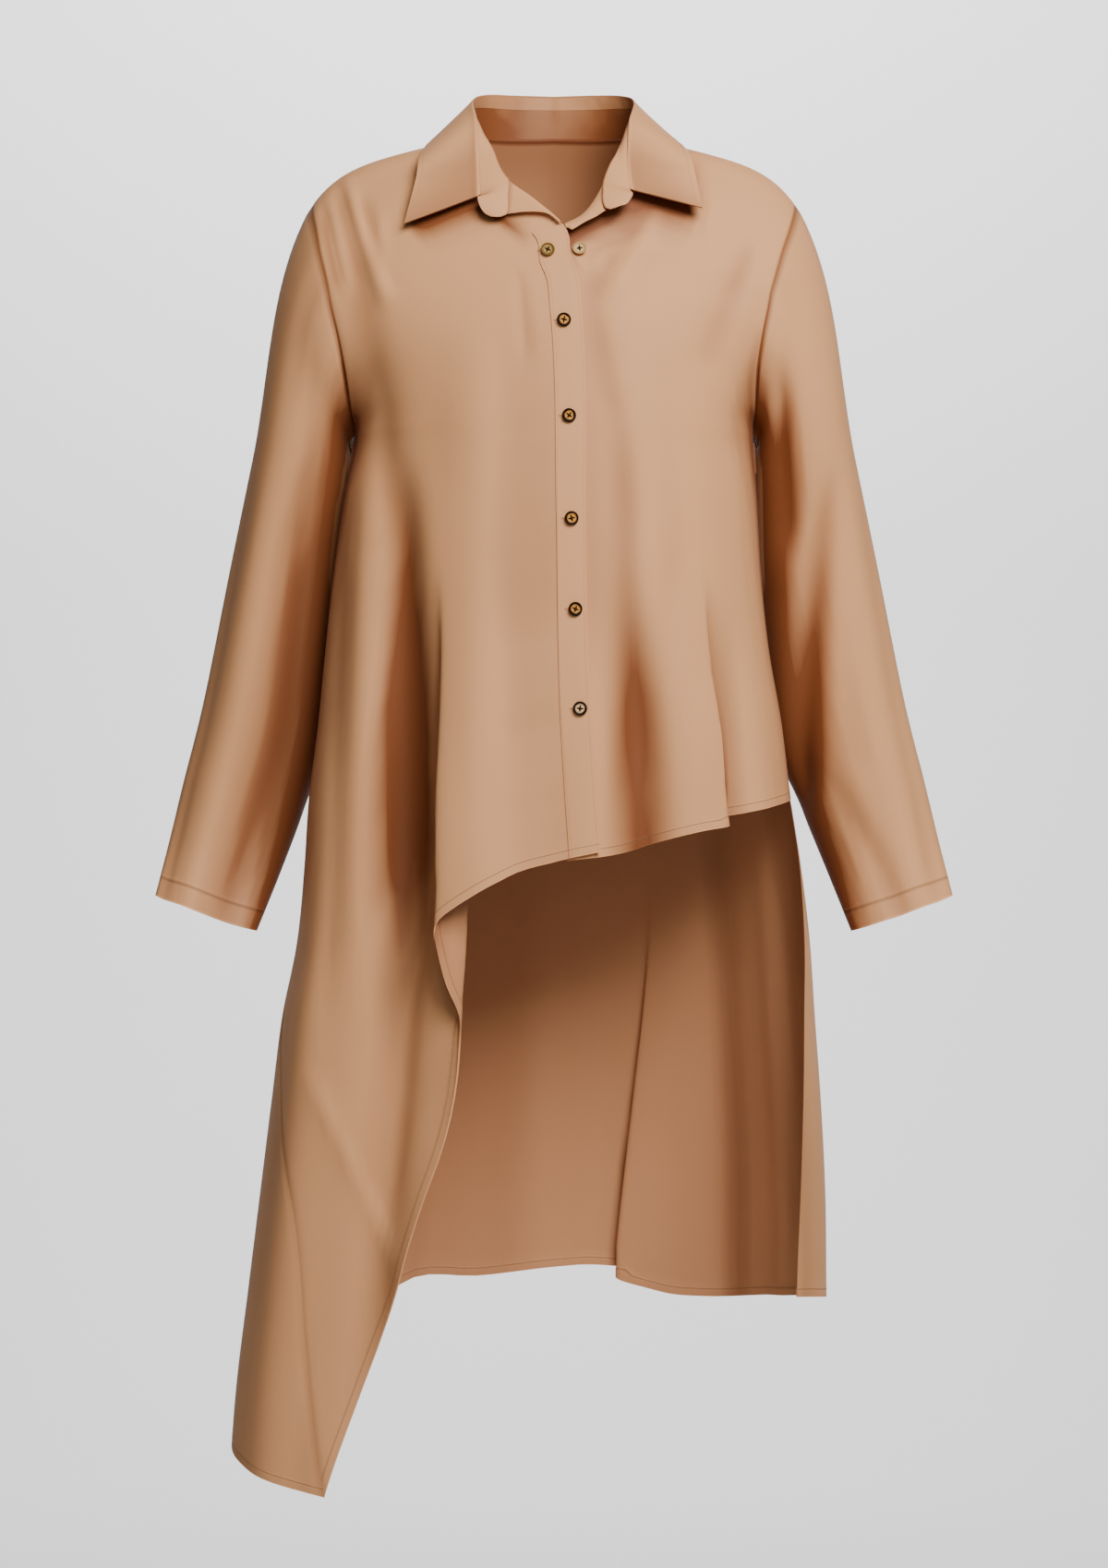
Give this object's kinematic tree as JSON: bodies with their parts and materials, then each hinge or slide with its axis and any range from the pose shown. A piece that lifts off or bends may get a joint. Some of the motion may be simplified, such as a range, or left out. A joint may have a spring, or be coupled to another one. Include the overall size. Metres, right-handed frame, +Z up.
{
  "type": "asymmetric shirt",
  "caption": "Loose long-sleeved shirt with a pointed collar, a buttoned placket, a slanting front hem with a long side tail and a longer back",
  "frame": {"origin": "Base of the wearer's neck, between the shoulder seams, where the shirt hangs from the shoulders", "axes": "+Z is up, -Y is the front with the placket, -X is the wearer's right side with the long tail"},
  "size_m": [0.6736, 0.2855, 1.1787],
  "materials": {
    "cloth": "smooth lyocell shirting with a soft satin sheen, warm tan",
    "horn": "dark brown horn-look button with an amber face"
  },
  "bodies": {
    "root": {"front_right": "cloth", "front_left": "cloth", "back": "cloth", "sleeve_right": "cloth", "sleeve_left": "cloth", "collar_stand": "cloth", "collar_leaf": "cloth", "neck_facing_right": "cloth", "neck_facing_left": "cloth", "placket": "cloth", "button_stand": "cloth", "button_1": "horn", "button_2": "horn", "button_3": "horn", "button_4": "horn", "button_5": "horn", "button_6": "horn", "button_7": "horn"}
  },
  "joints": []
}
